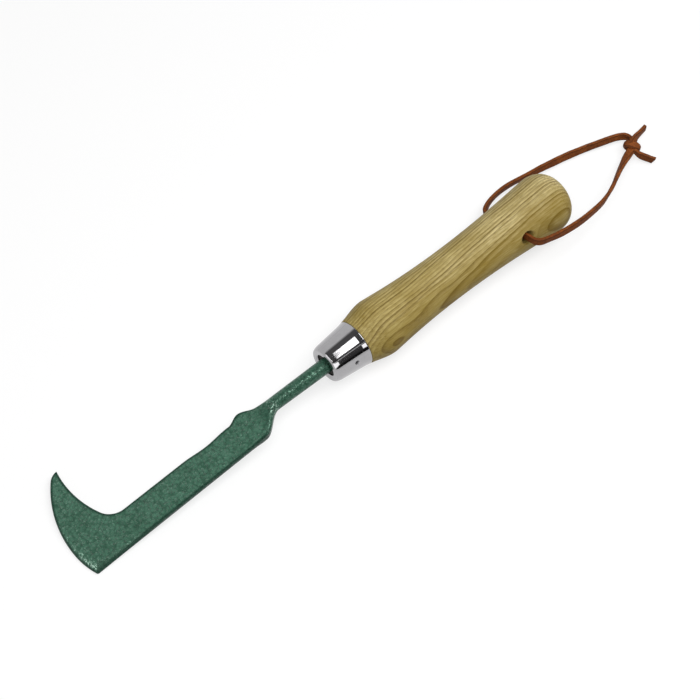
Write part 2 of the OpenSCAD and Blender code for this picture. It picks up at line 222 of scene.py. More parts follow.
def smooth_route(route, spacing):
    """Catmull-Rom curve through the route's points, cut into steps of the given length."""
    p = np.array(route, float)
    ends = np.concatenate([[2 * p[0] - p[1]], p, [2 * p[-1] - p[-2]]])
    t = np.linspace(0, 1, ROUTE_FINE + 1)[:-1, None]
    parts = []
    for a, b, c, d in zip(ends[:-3], ends[1:-2], ends[2:-1], ends[3:]):
        parts.append(0.5 * (2 * b + (c - a) * t + (2 * a - 5 * b + 4 * c - d) * t**2
                            + (3 * b - a - 3 * c + d) * t**3))
    line = np.concatenate(parts + [p[-1:]])
    run = length_along(line[:, :3])
    steps = max(4, int(run[-1] / spacing))
    return at_lengths(line, run, np.linspace(0, run[-1], steps + 1))


ROUTE_FINE = 12


def along(line):
    """Unit direction of a polyline at each of its points."""
    d = np.gradient(line, axis=0)
    return d / np.linalg.norm(d, axis=1, keepdims=True)


def placed(name, data):
    """A new object for a mesh, lamp or camera, in the scene."""
    thing = bpy.data.objects.new(name, data)
    bpy.context.scene.collection.objects.link(thing)
    return thing


def new_mesh(name, points, faces, masks={}):
    """A mesh through the points, with its masks as point attributes."""
    mesh = bpy.data.meshes.new(name)
    mesh.from_pydata(np.asarray(points, float).tolist(), [], faces)
    for label, values in masks.items():
        spots = mesh.attributes.new(label, "FLOAT", "POINT").data
        spots.foreach_set("value", values.astype(np.float32).ravel())
    return mesh


def finished(mesh):
    """The mesh as a piece at the world origin, its doubles merged and its faces pointing outwards."""
    b = bmesh.new()
    b.from_mesh(mesh)
    bmesh.ops.remove_doubles(b, verts=b.verts, dist=MERGE_WITHIN)
    bmesh.ops.recalc_face_normals(b, faces=b.faces)
    b.to_mesh(mesh)
    b.free()
    mesh.shade_smooth()
    return placed(mesh.name, mesh)


MERGE_WITHIN = 2e-6


def ring_faces(rings, points, looped=False):
    """Quads between closed rings of points.

    A loop joins its last ring to its first, and anything else gets a face at each end.
    """
    j, i = np.meshgrid(np.arange(rings if looped else rings - 1), np.arange(points), indexing="ij")
    nj, ni = (j + 1) % rings, (i + 1) % points
    quads = np.stack([j * points + i, nj * points + i, nj * points + ni, j * points + ni], -1)
    faces = quads.reshape(-1, 4).tolist()
    if not looped:
        faces += [list(range(points)), list(range((rings - 1) * points, rings * points))]
    return faces


def skin(name, rings, looped=False, **masks):
    """A closed solid through rings of points, with masks given point by point."""
    n, m = rings.shape[:2]
    return finished(new_mesh(name, rings.reshape(-1, 3), ring_faces(n, m, looped), masks))


def crease(piece, degrees):
    """Sharp edges wherever the faces meet at more than that angle."""
    piece.data.set_sharp_from_angle(angle=math.radians(degrees))


def lathe(profile, turns):
    """Rings of a profile (distance along, radius) turned about X by the angles given."""
    r = profile[:, 1:]
    return np.stack([profile[:, :1] + 0 * turns, r * np.cos(turns), r * np.sin(turns)], -1)


def across_grip(rings, x_at, tilt):
    """Rings drawn about X, turned to a tilted axis across the grip, with their Z along the grip."""
    x, z = tilted(tilt), np.array([1, 0, 0])
    return [x_at, 0, 0] + rings[..., :1] * x + rings[..., 1:2] * np.cross(z, x) + rings[..., 2:] * z


def cut(piece, tool):
    """Takes the tool's volume out of the piece, and removes the tool."""
    m = piece.modifiers.new("cut", "BOOLEAN")
    m.operation, m.solver, m.object = "DIFFERENCE", "EXACT", tool
    bpy.context.view_layer.update()
    done = bpy.data.meshes.new_from_object(piece.evaluated_get(bpy.context.evaluated_depsgraph_get()))
    piece.modifiers.clear()
    piece.data = done
    bpy.data.objects.remove(tool)


def make_camera():
    """The photograph's camera: its lens, its place on a sphere about the target, and its shift."""
    az, el = math.radians(CAMERA_AZIMUTH), math.radians(CAMERA_ELEVATION)
    back = np.array([math.sin(az) * math.cos(el), -math.cos(az) * math.cos(el), math.sin(el)])
    right = np.array([math.cos(az), math.sin(az), 0])
    data = bpy.data.cameras.new("camera")
    data.sensor_width = SENSOR_MM
    data.sensor_fit = "HORIZONTAL"
    data.lens = LENS_PX / PHOTO_PX * SENSOR_MM
    data.shift_x = (PHOTO_PX / 2 - LENS_AXIS_PX[0]) / PHOTO_PX
    data.shift_y = (LENS_AXIS_PX[1] - PHOTO_PX / 2) / PHOTO_PX
    data.clip_end = CAMERA_REACH
    camera = placed("camera", data)
    camera.matrix_world = standing(right, np.cross(back, right), back,
                                   np.array(CAMERA_TARGET) + CAMERA_DISTANCE * back)
    bpy.context.scene.camera = camera


def standing(x, y, z, place):
    """The matrix that gives a thing its three directions and its place."""
    m = np.eye(4)
    m[:3] = np.stack([x, y, z, place], -1)
    return Matrix(m.tolist())


def facing(place, look_at):
    """A lamp's matrix at a place: its long side runs along X and its face is turned to a point."""
    z = np.asarray(place) - np.asarray(look_at)
    z = z / np.linalg.norm(z)
    x = np.array([1, 0, 0]) - z[0] * z
    x = x / np.linalg.norm(x)
    return standing(x, np.cross(z, x), z, place)


def over_grip(angle, radius, x):
    """A point at an angle round the grip's axis, 0 at +Y and 90 overhead."""
    a = math.radians(angle)
    return (x, -CENTRE_Y / 1000 + radius * math.cos(a), AXIS_Z / 1000 + radius * math.sin(a))


def make_floor():
    """One flat square through the origin."""
    h = FLOOR_SIZE / 2
    mesh = new_mesh("floor", [(-h, -h, 0), (h, -h, 0), (h, h, 0), (-h, h, 0)], [(0, 1, 2, 3)])
    mesh.materials.append(floor_material())
    placed("floor", mesh)


def add_board(name, radius, ends, material):
    """A board over the table that only mirrors see.

    Each of its two ends gives its place along X and its low and high angle round the grip.
    """
    (x0, low0, high0), (x1, low1, high1) = ends
    corners = [over_grip(low0, radius, x0), over_grip(low1, radius, x1),
               over_grip(high1, radius, x1), over_grip(high0, radius, x0)]
    mesh = new_mesh(name, corners, [(0, 1, 2, 3)])
    mesh.uv_layers.new(name="across").data.foreach_set("uv", [0, 0, 1, 0, 1, 1, 0, 1])
    mesh.materials.append(material)
    board = placed(name, mesh)
    board.visible_camera = board.visible_diffuse = False
    board.visible_shadow = board.visible_transmission = False


def make_lamp():
    """The soft lamp overhead: a long rectangle between two angles round the grip's axis."""
    low, high = LAMP_ANGLES
    middle = (low + high) / 2
    data = bpy.data.lights.new("overhead_softbox", "AREA")
    data.shape = "RECTANGLE"
    data.size = LAMP_LEN
    data.size_y = 2 * LAMP_RADIUS * math.tan(math.radians(high - low) / 2)
    data.energy = LAMP_WATTS
    lamp = placed("overhead_softbox", data)
    lamp.matrix_world = facing(over_grip(middle, LAMP_RADIUS, LAMP_X), over_grip(middle, 0, LAMP_X))


def make_sky():
    """An even pale sky that the camera and mirrors see brighter than it lights."""
    world = bpy.data.worlds.new("studio")
    bpy.context.scene.world = world
    world.use_nodes = True
    tree = world.node_tree
    sky = tree.nodes["Background"]
    sky.inputs["Color"].default_value = (1, 1, 1, 1)
    put(sky.inputs["Strength"], between(tree, in_view(tree), (SKY_LEVEL, SKY_SEEN)))


def make_stage():
    """The studio: a pale floor, one soft lamp, a sky, and boards that only the metal mirrors."""
    make_floor()
    for name, radius, levels, *ends in BOARDS:
        add_board(name, radius, ends, glow_material(name, *levels))
    make_lamp()
    make_sky()
    bpy.context.scene.view_settings.view_transform = "Standard"


FLOOR_SIZE = 6
FLOOR_GREY = 0.32
FLOOR_LIFT = 0.71
SKY_LEVEL = 0.28
SKY_SEEN = 0.95
LAMP_RADIUS = 0.9
LAMP_ANGLES = (88.2, 123.2)
LAMP_LEN = 1.5
LAMP_X = 0.2
LAMP_WATTS = 9.2
# Name, radius, brightness at the low and the high angle, then X and the two angles at either end
BOARDS = [("far_fade", 0.75, (0.9, 0.14), (-0.7, 52, 62), (1.2, 52, 62)),
          ("far_board", 0.75, (0.14, 0.14), (-0.7, 62, 88.2), (1.2, 62, 88.2)),
          ("gap_board", 0.75, (0.1, 0.1), (-0.7, 123.2, 133), (1.2, 123.2, 133)),
          ("near_board", 0.75, (0.08, 0.05), (-0.7, 136, 160), (1.2, 136, 160)),
          ("near_edge", 0.75, (0.02, 0.004), (-0.7, 160, 176), (1.2, 160, 171)),
          ("front_board", 0.74, (0.14, 0.06), (-0.33, 54, 134), (0.075, 66, 134)),
          ("front_card", 0.74, (1.9, 1.9), (-0.85, 60, 105), (-0.34, 60, 105)),
          ("near_card", 0.7, (2.4, 2.4), (-0.6, 134, 176), (0.05, 140, 156))]


def put(socket, value):
    """Feeds a socket from another one, or sets its own value."""
    if isinstance(value, bpy.types.NodeSocket):
        socket.id_data.links.new(value, socket)
    else:
        socket.default_value = value


def add(tree, kind, inputs={}, **settings):
    """One shader node: settings are its properties, and inputs are what its sockets get."""
    n = tree.nodes.new("ShaderNode" + kind)
    for key, value in settings.items():
        setattr(n, key, value)
    for key, value in inputs.items():
        put(n.inputs[key], value)
    return n


def maths(tree, operation, *values):
    """One arithmetic step on one or two values."""
    return add(tree, "Math", dict(enumerate(values)), operation=operation).outputs[0]


def times(tree, a, b):
    """The product of two values."""
    return maths(tree, "MULTIPLY", a, b)


def plus(tree, a, b):
    """Two values added."""
    return maths(tree, "ADD", a, b)


def scaled(tree, vector, factors):
    """A vector with each of its parts multiplied."""
    return add(tree, "VectorMath", {0: vector, 1: factors}, operation="MULTIPLY").outputs[0]


def split(tree, vector):
    """A vector's three parts."""
    return add(tree, "SeparateXYZ", {0: vector}).outputs


def mask_of(tree, name):
    """A mask that the mesh carries."""
    return add(tree, "Attribute", attribute_name=name).outputs["Fac"]


def mixed(tree, factor, a, b):
    """Colour a, going over to b as the factor goes from 0 to 1."""
    colour_a, colour_b = 6, 7
    return add(tree, "Mix", {"Factor": factor, colour_a: a, colour_b: b}, data_type="RGBA").outputs[2]


def ranged(tree, value, low, high, to_low=0.0, to_high=1.0, kind="LINEAR"):
    """A value's range mapped to another, and held at its ends."""
    return add(tree, "MapRange", {"Value": value, "From Min": low, "From Max": high, "To Min": to_low,
                                  "To Max": to_high}, interpolation_type=kind).outputs[0]


def between(tree, mask, ends):
    """From the first end to the second as the mask goes from 0 to 1."""
    return ranged(tree, mask, 0.0, 1.0, *ends)


def in_view(tree):
    """1 for what the camera or a mirror sees, and 0 for all other light."""
    ray = add(tree, "LightPath")
    return maths(tree, "MAXIMUM", ray.outputs["Is Camera Ray"], ray.outputs["Is Glossy Ray"])


def bump(tree, height, depth):
    """The normal of a surface raised by the height, over a depth in metres."""
    return add(tree, "Bump", {"Height": height, "Distance": depth, "Strength": 1.0}).outputs[0]


def feed(shader, **sockets):
    """Gives the shader's sockets their values. An underscore stands for a space in a name."""
    for key, value in sockets.items():
        put(shader.inputs[key.replace("_", " ")], value)


def new_group(name, **numbers):
    """An empty node group that takes a Vector and the named numbers, and puts out a Mask."""
    g = bpy.data.node_groups.new(name, "ShaderNodeTree")
    g.interface.new_socket("Vector", in_out="INPUT", socket_type="NodeSocketVector")
    for label, value in numbers.items():
        socket = g.interface.new_socket(label, in_out="INPUT", socket_type="NodeSocketFloat")
        socket.default_value = value
    g.interface.new_socket("Mask", in_out="OUTPUT", socket_type="NodeSocketFloat")
    return g, g.nodes.new("NodeGroupInput").outputs, g.nodes.new("NodeGroupOutput").inputs["Mask"]


def mottle_group():
    """Soft uneven patches: two sizes of noise mixed, and stretched between Low and High.

    Size is the patches' width in metres, and Grain the finer noise's share.
    """
    g, given, mask = new_group("mottle", Size=0.01, Grain=0.3, Low=0.35, High=0.65)
    scale = maths(g, "DIVIDE", 1.0, given["Size"])
    wide = add(g, "TexNoise", {"Vector": given["Vector"], "Scale": scale, "Detail": 2.0})
    finer = times(g, scale, MOTTLE_FINER)
    fine = add(g, "TexNoise", {"Vector": given["Vector"], "Scale": finer, "Detail": 3.0})
    both = add(g, "Mix", {"Factor": given["Grain"], "A": wide.outputs[0], "B": fine.outputs[0]})
    put(mask, ranged(g, both.outputs[0], given["Low"], given["High"]))
    return g


MOTTLE_FINER = 7.0


def fibre_group():
    """Streaks along X: noise Stretch times longer than it is wide, stretched between Low and High."""
    g, given, mask = new_group("fibre", Width=0.0004, Stretch=20, Low=0.35, High=0.65)
    thin = maths(g, "DIVIDE", 1.0, given["Width"])
    size = add(g, "CombineXYZ", {"X": maths(g, "DIVIDE", thin, given["Stretch"]), "Y": thin, "Z": thin})
    v = scaled(g, given["Vector"], size.outputs[0])
    n = add(g, "TexNoise", {"Vector": v, "Scale": 1.0, "Detail": 3.0, "Roughness": 0.6})
    put(mask, ranged(g, n.outputs[0], given["Low"], given["High"]))
    return g


def use(tree, group, **inputs):
    """A group placed in a material with its own values, and the mask that it puts out."""
    return add(tree, "Group", inputs, node_tree=group).outputs[0]


def new_material(name):
    """A material with its nodes, its Principled shader and the Object coordinates."""
    m = bpy.data.materials.new(name)
    m.use_nodes = True
    tree = m.node_tree
    return m, tree, tree.nodes["Principled BSDF"], add(tree, "TexCoord").outputs["Object"]


def show(tree, shader):
    """Puts another shader on a material's surface in place of its own."""
    tree.nodes.remove(tree.nodes["Principled BSDF"])
    put(tree.nodes["Material Output"].inputs["Surface"], shader.outputs[0])


def floor_material():
    """Pale matt floor, which the camera and mirrors see lifted towards white."""
    m, tree, *_ = new_material("pale_floor")
    matt = add(tree, "BsdfDiffuse", {"Color": (FLOOR_GREY, FLOOR_GREY, FLOOR_GREY, 1)})
    glow = add(tree, "Emission", {"Strength": times(tree, in_view(tree), FLOOR_LIFT)})
    show(tree, add(tree, "AddShader", {0: matt.outputs[0], 1: glow.outputs[0]}))
    return m


def glow_material(name, low, high):
    """A board's glow, from one brightness at its low angle to another at its high one."""
    m, tree, *_ = new_material(name)
    rise = split(tree, add(tree, "UVMap", uv_map="across").outputs[0])[1]
    show(tree, add(tree, "Emission", {"Strength": between(tree, rise, (low, high))}))
    return m


def hammered_cells(tree, where):
    """How near each point is to a valley between the paint's rounded cells, which noise pushes about."""
    warp = add(tree, "TexNoise", {"Vector": where, "Scale": WARPS_PER_M, "Detail": 1.0})
    moved = scaled(tree, warp.outputs["Color"], CELL_WARP)
    at = add(tree, "VectorMath", {0: where, 1: moved}, operation="ADD").outputs[0]
    cells = add(tree, "TexVoronoi", {"Vector": at, "Scale": CELLS_PER_M, "Smoothness": CELL_SOFT},
                feature="SMOOTH_F1")
    return ranged(tree, cells.outputs["Distance"], *VALLEY_FROM)


def paint_material(mottle):
    """Green hammer-finish paint: cells a millimetre or so across, darker in the valleys between them.

    Metal flake is thick on the outer bevel and thin elsewhere, and its pale colour there is partly a painted
    highlight. The bevel along the straight edge, the outline's rounded edge and the neck are darker with
    painted shade.
    """
    m, tree, shader, where = new_material("hammered_green_paint")
    valley = hammered_cells(tree, where)
    patches = use(tree, mottle, Vector=where, Size=0.012, Grain=0.35, Low=0.35, High=0.65)
    outer, straight = mask_of(tree, "outer_bevel"), mask_of(tree, "edge_bevel")
    flake = add(tree, "TexVoronoi", {"Vector": where, "Scale": FLAKES_PER_M}, feature="F1").outputs["Color"]
    least = ranged(tree, maths(tree, "SUBTRACT", outer, straight), -1.0, 1.0, *FLAKE_LEAST)
    spark = maths(tree, "GREATER_THAN", split(tree, flake)[0], least)
    colour = mixed(tree, patches, PAINT_DARK, PAINT_LIGHT)
    colour = mixed(tree, times(tree, valley, VALLEY_SHARE), colour, PAINT_VALLEY_AND_SHADE)
    # Painted shade: the bevel along the straight edge goes towards the valleys' tone
    colour = mixed(tree, times(tree, straight, STRAIGHT_SHADE_SHARE), colour, PAINT_VALLEY_AND_SHADE)
    # Flake, mixed in fully on the outer bevel, where it is partly a painted highlight
    colour = mixed(tree, times(tree, spark, between(tree, outer, FLAKE_AND_HIGHLIGHT_SHARE)), colour, PAINT_FLAKE_AND_HIGHLIGHT)
    # Painted shade along the outline's rounded edge and over the neck
    colour = mixed(tree, times(tree, mask_of(tree, "rim_shade"), RIM_SHADE_SHARE), colour, PAINT_RIM_SHADE)
    rough = use(tree, mottle, Vector=where, Size=0.0009, Grain=0.5, Low=0.3, High=0.7)
    height = maths(tree, "SUBTRACT", times(tree, patches, PATCH_HEIGHT), valley)
    feed(shader, Base_Color=colour, Metallic=between(tree, spark, PAINT_METAL),
         Roughness=between(tree, rough, PAINT_ROUGH), Normal=bump(tree, height, PAINT_DEPTH),
         Specular_IOR_Level=0.2)
    return m


# In all materials a share is how much of a tone is mixed in, and depths are in metres
PAINT_DARK = (0.062, 0.16, 0.105, 1)
PAINT_LIGHT = (0.08, 0.2, 0.135, 1)
# The valleys' tone, also the painted shade on the straight bevel
PAINT_VALLEY_AND_SHADE = (0.022, 0.075, 0.045, 1)
PAINT_FLAKE_AND_HIGHLIGHT = (0.3, 0.44, 0.36, 1)
# Painted shade along the outline's rounded edge and over the neck
PAINT_RIM_SHADE = (0.008, 0.042, 0.025, 1)
WARPS_PER_M = 420.0
CELL_WARP = (0.0009, 0.0009, 0.0009)
CELLS_PER_M = 600.0
CELL_SOFT = 0.4
VALLEY_FROM = (0.25, 0.75)
VALLEY_SHARE = 0.7
# How much painted shade goes on the straight bevel
STRAIGHT_SHADE_SHARE = 0.9
RIM_SHADE_SHARE = 0.9
FLAKES_PER_M = 1900.0
# On the straight bevel, then on the outer one
FLAKE_LEAST = (0.98, 0.62)
# Off the outer bevel, then on it, where the pale flake colour is partly a painted highlight
FLAKE_AND_HIGHLIGHT_SHARE = (0.35, 1.0)
PAINT_METAL = (0.08, 0.85)
PAINT_ROUGH = (0.2, 0.36)
PAINT_DEPTH = 0.00015
PATCH_HEIGHT = 0.3


def chrome_material(mottle, fibre):
    """Bright plating over drawn steel: nearly a mirror, with a trace of haze and of fine wear round it."""
    m, tree, shader, where = new_material("bright_chrome")
    haze = use(tree, mottle, Vector=where, Size=0.006, Grain=0.4, Low=0.35, High=0.7)
    wear = use(tree, fibre, Vector=where, Width=0.0003, Stretch=0.08, Low=0.55, High=0.8)
    rough = plus(tree, between(tree, haze, CHROME_ROUGH), times(tree, wear, WEAR_ROUGH))
    feed(shader, Base_Color=mixed(tree, haze, CHROME_BRIGHT, CHROME_HAZE), Roughness=rough,
         Normal=bump(tree, wear, WEAR_DEPTH), Metallic=1.0)
    return m


CHROME_BRIGHT = (0.4, 0.395, 0.405, 1)
CHROME_HAZE = (0.36, 0.355, 0.365, 1)
CHROME_ROUGH = (0.045, 0.075)
WEAR_ROUGH = 0.03
WEAR_DEPTH = 0.000003


def steel_material(mottle):
    """Pin steel, dulled and a little rough, its colour made nearly black as painted shade down in the
    ferrule's recess.
    """
    m, tree, shader, where = new_material("pin_steel")
    dull = use(tree, mottle, Vector=where, Size=0.0006, Grain=0.5, Low=0.3, High=0.7)
    feed(shader, Base_Color=mixed(tree, dull, STEEL_SHADED_PALE, STEEL_SHADED_DARK),
         Roughness=between(tree, dull, STEEL_ROUGH), Normal=bump(tree, dull, STEEL_DEPTH), Metallic=1.0)
    return m


# Both tones nearly black: painted shade for the pin's end down in its recess
STEEL_SHADED_PALE = (0.075, 0.075, 0.08, 1)
STEEL_SHADED_DARK = (0.035, 0.035, 0.037, 1)
STEEL_ROUGH = (0.22, 0.4)
STEEL_DEPTH = 0.00001


def ring_radius(tree, where, lay):
    """Distance from the pith, which noise makes drift, a rise lifts over the front half, and swirls push."""
    drift = add(tree, "TexNoise", {"Vector": scaled(tree, lay, DRIFTS_PER_M), "Scale": 1.0, "Detail": 2.0})
    x, y, z = split(tree, lay)
    radius = maths(tree, "SQRT", plus(tree, times(tree, y, y), times(tree, z, z)))
    radius = plus(tree, radius, times(tree, drift.outputs[0], RING_DRIFT))
    radius = plus(tree, radius, ranged(tree, x, 0.0, RISE_LEN, 0.0, GRAIN_RISE, "SMOOTHSTEP"))
    squeezed = scaled(tree, where, (SWIRL_SQUEEZE, 1.0, 1.0))
    for x_at, y_at, z_at, reach, lift in SWIRLS:
        off = add(tree, "VectorMath", {0: squeezed, 1: (SWIRL_SQUEEZE * x_at, y_at, z_at)},
                  operation="DISTANCE").outputs["Value"]
        radius = plus(tree, radius, times(tree, ranged(tree, off, reach, 0.0, kind="SMOOTHERSTEP"), lift))
    return radius


def early_wood(tree, radius):
    """The dark early part of each year's ring, fading over the rest of it, and fainter in some years."""
    years = maths(tree, "DIVIDE", radius, RING_WIDTH)
    year = maths(tree, "FRACT", years)
    early = times(tree, ranged(tree, year, 0.0, YEAR_DARK), ranged(tree, year, YEAR_PALE, YEAR_DARK))
    which = add(tree, "TexWhiteNoise", {"W": maths(tree, "FLOOR", years)}, noise_dimensions="1D")
    return times(tree, early, ranged(tree, which.outputs["Value"], *YEAR_FROM, *YEAR_SHARE))


def ash_material(mottle, fibre):
    """Varnished ash: growth rings about a pith beyond the far side, with streaks and dark pores along them.

    The rings run straight over the top and in long flames down the near side. The wood gets paler away
    from the ferrule, and darker in the outermost rings, which lie down the near side: painted shade there.
    The nose inside the ferrule is painted nearly black as shade.
    """
    m, tree, shader, where = new_material("varnished_ash")
    lay = add(tree, "Mapping", {"Vector": where, "Location": PITH_AT, "Rotation": PITH_TURN}).outputs[0]
    radius = ring_radius(tree, where, lay)
    early = early_wood(tree, radius)
    tone = use(tree, mottle, Vector=where, Size=0.03, Grain=0.25, Low=0.3, High=0.7)
    streak = use(tree, fibre, Vector=lay, Width=0.0006, Stretch=50.0, Low=0.4, High=0.62)
    pores = use(tree, fibre, Vector=lay, Width=0.00026, Stretch=12.0, Low=0.54, High=0.64)
    pore = times(tree, pores, between(tree, early, PORE_SHARE))
    wood = mixed(tree, ranged(tree, split(tree, lay)[0], *ASH_PALES), ASH_LIGHT, ASH_PALE)
    wood = mixed(tree, tone, wood, ASH_MID)
    wood = mixed(tree, times(tree, streak, STREAK_SHARE), wood, ASH_STREAK)
    wood = mixed(tree, early, wood, ASH_EARLY)
    wood = mixed(tree, pore, wood, ASH_PORE)
    # Painted shade: darker in the outermost rings, down the near side
    wood = mixed(tree, ranged(tree, radius, *NEAR_SHADE_RADII, 0.0, NEAR_SHADE_SHARE), wood, ASH_NEAR_SHADE)
    # Painted shade: the nose inside the ferrule nearly black
    nose = maths(tree, "LESS_THAN", split(tree, where)[0], NOSE_END)
    height = maths(tree, "SUBTRACT", times(tree, streak, STREAK_HEIGHT), pore)
    feed(shader, Base_Color=mixed(tree, nose, wood, NOSE_SHADE), Normal=bump(tree, height, ASH_DEPTH),
         Roughness=between(tree, streak, ASH_ROUGH), Specular_IOR_Level=0.2)
    return m


PITH_AT = (0, -0.075, -0.012)
PITH_TURN = (0, 0, math.radians(-0.4))
RING_WIDTH = 0.0019
RING_DRIFT = 0.0042
DRIFTS_PER_M = (14.0, 50.0, 50.0)
GRAIN_RISE = 0.0075
RISE_LEN = 0.12
# Where the grain swirls round small knots: the place, the reach and how far the rings are pushed
SWIRLS = [(0.027, -0.0295, 0.02, 0.011, 0.0016), (0.062, -0.024, 0.026, 0.008, 0.0009),
          (0.15, -0.0285, 0.024, 0.01, 0.0016), (0.122, -0.029, 0.02, 0.009, -0.0012)]
SWIRL_SQUEEZE = 0.45
YEAR_DARK = 0.1
YEAR_PALE = 0.7
# A year's random number, and how dark it makes that year
YEAR_FROM = (0.1, 0.9)
YEAR_SHARE = (0.3, 1.0)
PORE_SHARE = (0.22, 0.8)
STREAK_SHARE = 0.6
STREAK_HEIGHT = 0.3
# Where along X the wood goes over to its paler tone, and the radii where the near side's painted shade
# comes in
ASH_PALES = (0.03, 0.13)
NEAR_SHADE_RADII = (0.105, 0.1125)
NEAR_SHADE_SHARE = 0.5
NOSE_END = 0.0005
ASH_LIGHT = (0.6, 0.49, 0.19, 1)
ASH_PALE = (0.75, 0.63, 0.31, 1)
ASH_MID = (0.34, 0.25, 0.06, 1)
ASH_STREAK = (0.27, 0.185, 0.036, 1)
ASH_EARLY = (0.14, 0.082, 0.015, 1)
ASH_PORE = (0.07, 0.038, 0.01, 1)
ASH_NEAR_SHADE = (0.26, 0.165, 0.005, 1)
# Painted shade for the nose inside the ferrule
NOSE_SHADE = (0.008, 0.006, 0.004, 1)
ASH_ROUGH = (0.5, 0.65)
ASH_DEPTH = 0.00006


def leather_material(mottle):
    """Waxed red-brown lace: fine grain, fibres along it, painted shade at its corners and paler cut ends.

    The UV map runs along and across the lace.
    """
    m, tree, shader, where = new_material("waxed_leather")
    tone = use(tree, mottle, Vector=where, Size=0.006, Grain=0.45, Low=0.32, High=0.68)
    fibres = scaled(tree, add(tree, "UVMap", uv_map="lace").outputs[0], FIBRES_PER_M)
    hair = add(tree, "TexNoise", {"Vector": fibres, "Scale": 1.0, "Detail": 2.0}).outputs[0]
    grain = add(tree, "TexVoronoi", {"Vector": where, "Scale": GRAINS_PER_M}, feature="SMOOTH_F1")
    colour = mixed(tree, tone, LEATHER_DARK, LEATHER_LIGHT)
    colour = mixed(tree, ranged(tree, hair, *HAIR_FROM, 0.0, HAIR_SHARE), colour, LEATHER_RED)
    # Painted shade: darker at the lace's rounded corners
    colour = mixed(tree, times(tree, mask_of(tree, "edge"), CORNER_SHADE_SHARE), colour, LEATHER_CORNER_SHADE)
    colour = mixed(tree, mask_of(tree, "cut"), colour, LEATHER_CUT)
    height = plus(tree, times(tree, grain.outputs["Distance"], GRAIN_HEIGHT), hair)
    feed(shader, Base_Color=colour, Roughness=between(tree, tone, LEATHER_ROUGH),
         Normal=bump(tree, height, LEATHER_DEPTH), Specular_IOR_Level=0.1)
    return m


LEATHER_LIGHT = (0.34, 0.1, 0.022, 1)
LEATHER_DARK = (0.1, 0.027, 0.006, 1)
LEATHER_RED = (0.13, 0.034, 0.008, 1)
# Painted shade for the lace's corners
LEATHER_CORNER_SHADE = (0.035, 0.01, 0.004, 1)
LEATHER_CUT = (0.5, 0.28, 0.18, 1)
FIBRES_PER_M = (400.0, 3200.0, 1.0)
GRAINS_PER_M = 2400.0
HAIR_FROM = (0.4, 0.62)
HAIR_SHARE = 0.65
CORNER_SHADE_SHARE = 0.62
GRAIN_HEIGHT = 0.6
LEATHER_ROUGH = (0.55, 0.72)
LEATHER_DEPTH = 0.00008


def bar_back(a):
    """The bar's back edge: straight, with a slight taper towards the shoulder and a shallow hollow."""
    return (BACK_Y - BAR_TAPER * (CROOK_C[0] - a) / (CROOK_C[0] - SHOULDER_LEN)
            - BAR_HOLLOW * hump((a - HOLLOW_X) / HOLLOW_HALF))


def hook_rows(line):
    """The hook's inner or outer edge, cut into equal steps, without its first point."""
    run = length_along(line)
    return at_lengths(line, run, np.linspace(0, 1, HOOK_ROWS + 1)[1:] * run[-1])


def blade_edges():
    """The blade's back and front outlines as matching rows of points.

    They run along the bar, round crook and heel, then along the hook's two edges to the tip.
    """
    corner = [CORNER_X, EDGE_Y + CORNER_R]
    corner_a = angle_of(corner, HEEL_C)
    a = np.linspace(SHOULDER_LEN, CROOK_C[0], BAR_ROWS)
    b = np.linspace(CROOK_C[0], CORNER_X, TURN_ROWS)
    crook_n, inner_n = INNER_POINTS
    heel_n, outer_n, point_n = OUTER_POINTS
    inner = np.concatenate([arc(CROOK_C, CROOK_R, HEEL_A, CROOK_A, crook_n),
                            arc(INNER_C, INNER_R, CROOK_A, angle_of(TIP, INNER_C), inner_n)[1:]])
    outer = np.concatenate([arc(HEEL_C, HEEL_R, corner_a, 0, heel_n),
                            arc(OUTER_C, OUTER_R, 0, POINT_A, outer_n)[1:],
                            arc(POINT_C, POINT_R, POINT_A, angle_of(TIP, POINT_C), point_n)[1:]])
    back = [np.stack([a, bar_back(a)], -1), arc(CROOK_C, CROOK_R, -90, TURN_A, TURN_ROWS)[1:],
            arc(CROOK_C, CROOK_R, TURN_A, HEEL_A, HEEL_ROWS)[1:], hook_rows(inner)]
    front = [np.stack([a, np.full_like(a, EDGE_Y)], -1), np.stack([b, np.full_like(b, EDGE_Y)], -1)[1:],
             arc(corner, CORNER_R, -90, corner_a, HEEL_ROWS)[1:], hook_rows(outer)]
    return np.concatenate(back), np.concatenate(front)


# Rows of points along the outlines, and the crook's angles where the bar's and the heel's rows end
BAR_ROWS = 90
TURN_ROWS = 46
HEEL_ROWS = 13
HOOK_ROWS = 150
TURN_A = -56
HEEL_A = -53
INNER_POINTS = (40, 120)
OUTER_POINTS = (60, 160, 60)


def distance_to(points, line):
    """Distance of each point to a polyline, worked out for a batch of its stretches at a time."""
    best = np.full(len(points), np.inf)
    for k in range(0, len(line) - 1, BATCH):
        a, d = line[k:k + BATCH + 1][:-1], np.diff(line[k:k + BATCH + 1], axis=0)
        rel = points[:, None] - a
        t = np.clip((rel * d).sum(-1) / np.maximum((d**2).sum(-1), 1e-12), 0, 1)
        best = np.minimum(best, np.linalg.norm(rel - t[..., None] * d, axis=-1).min(1))
    return best


BATCH = 64


